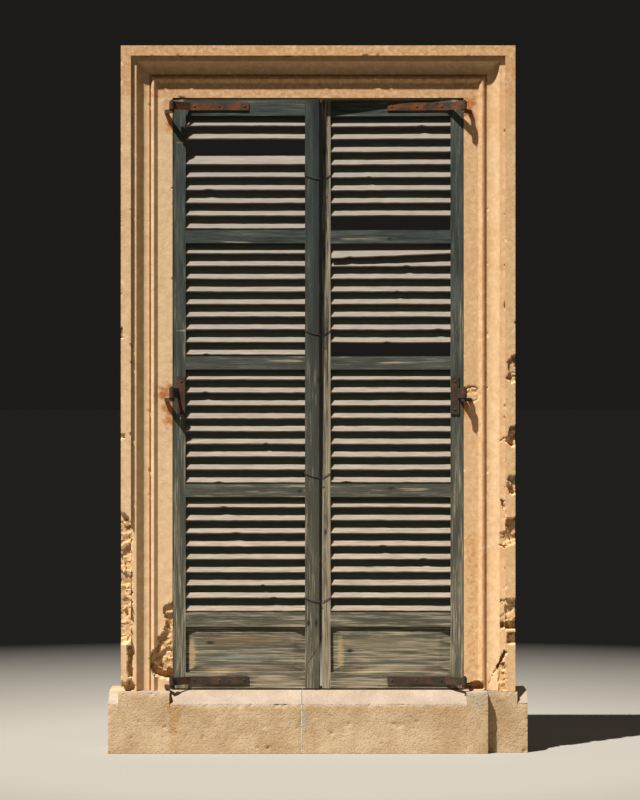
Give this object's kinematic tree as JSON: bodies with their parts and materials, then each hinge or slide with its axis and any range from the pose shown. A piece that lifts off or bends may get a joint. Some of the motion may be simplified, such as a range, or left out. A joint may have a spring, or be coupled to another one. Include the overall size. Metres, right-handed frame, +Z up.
{
  "type": "louvred shutters",
  "caption": "Pair of old louvred shutters on cranked strap hinges, in a moulded stone surround with sill blocks, without the wall.",
  "frame": {"origin": "underside of the sill, on the centre line of the opening, in the plane of the flat inner band of the stone surround", "axes": "+Z up, +X to the right seen from the street, -Y out to the street"},
  "size_m": [1.718, 0.28, 2.899],
  "materials": {
    "limewashed_limestone": "limestone under worn cream limewash, matt",
    "tooled_limestone": "ochre limestone, bush-hammered, matt",
    "rusted_iron": "wrought iron, rusted brown, matt",
    "bare_weathered_pine": "pine slats, green paint worn to grey wood on the outer edges",
    "painted_pine": "pine under flaking dark green paint, matt"
  },
  "bodies": {
    "frame": {"jamb_left": "limewashed_limestone", "jamb_right": "limewashed_limestone", "head": "limewashed_limestone", "sill_block_left": "tooled_limestone", "sill_block_middle": "tooled_limestone", "sill_block_right": "tooled_limestone", "left_top_pintle": "rusted_iron", "left_middle_pintle": "rusted_iron", "left_bottom_pintle": "rusted_iron", "right_top_pintle": "rusted_iron", "right_middle_pintle": "rusted_iron", "right_bottom_pintle": "rusted_iron"},
    "left_leaf": {"left_bottom_rail": "painted_pine", "left_bottom_strap": "rusted_iron", "left_cover_strip": "painted_pine", "left_hinge_stile": "painted_pine", "left_meeting_stile": "painted_pine", "left_middle_hinge": "rusted_iron", "left_nails": "rusted_iron", "left_panel": "painted_pine", "left_panel_rail": "painted_pine", "left_rail_1": "painted_pine", "left_rail_2": "painted_pine", "left_rail_3": "painted_pine", "left_slats_bay_1": "bare_weathered_pine", "left_slats_bay_2": "bare_weathered_pine", "left_slats_bay_3": "bare_weathered_pine", "left_slats_bay_4": "bare_weathered_pine", "left_top_rail": "painted_pine", "left_top_strap": "rusted_iron"},
    "right_leaf": {"right_bottom_rail": "painted_pine", "right_bottom_strap": "rusted_iron", "right_hinge_stile": "painted_pine", "right_loose_slat": "bare_weathered_pine", "right_meeting_stile": "painted_pine", "right_middle_hinge": "rusted_iron", "right_nails": "rusted_iron", "right_panel": "painted_pine", "right_panel_rail": "painted_pine", "right_rail_1": "painted_pine", "right_rail_2": "painted_pine", "right_rail_3": "painted_pine", "right_slats_bay_1": "bare_weathered_pine", "right_slats_bay_2": "bare_weathered_pine", "right_slats_bay_3": "bare_weathered_pine", "right_slats_bay_4": "bare_weathered_pine", "right_top_rail": "painted_pine", "right_top_strap": "rusted_iron"}
  },
  "joints": [
    {"name": "left_leaf_hinge", "type": "hinge", "parent": "frame", "child": "left_leaf", "pos_m": [-0.6, -0.048, 1.47], "axis": [0, 0, -1], "range_deg": [0, 180]},
    {"name": "right_leaf_hinge", "type": "hinge", "parent": "frame", "child": "right_leaf", "pos_m": [0.6, -0.048, 1.47], "axis": [0, 0, 1], "range_deg": [0, 180]}
  ]
}
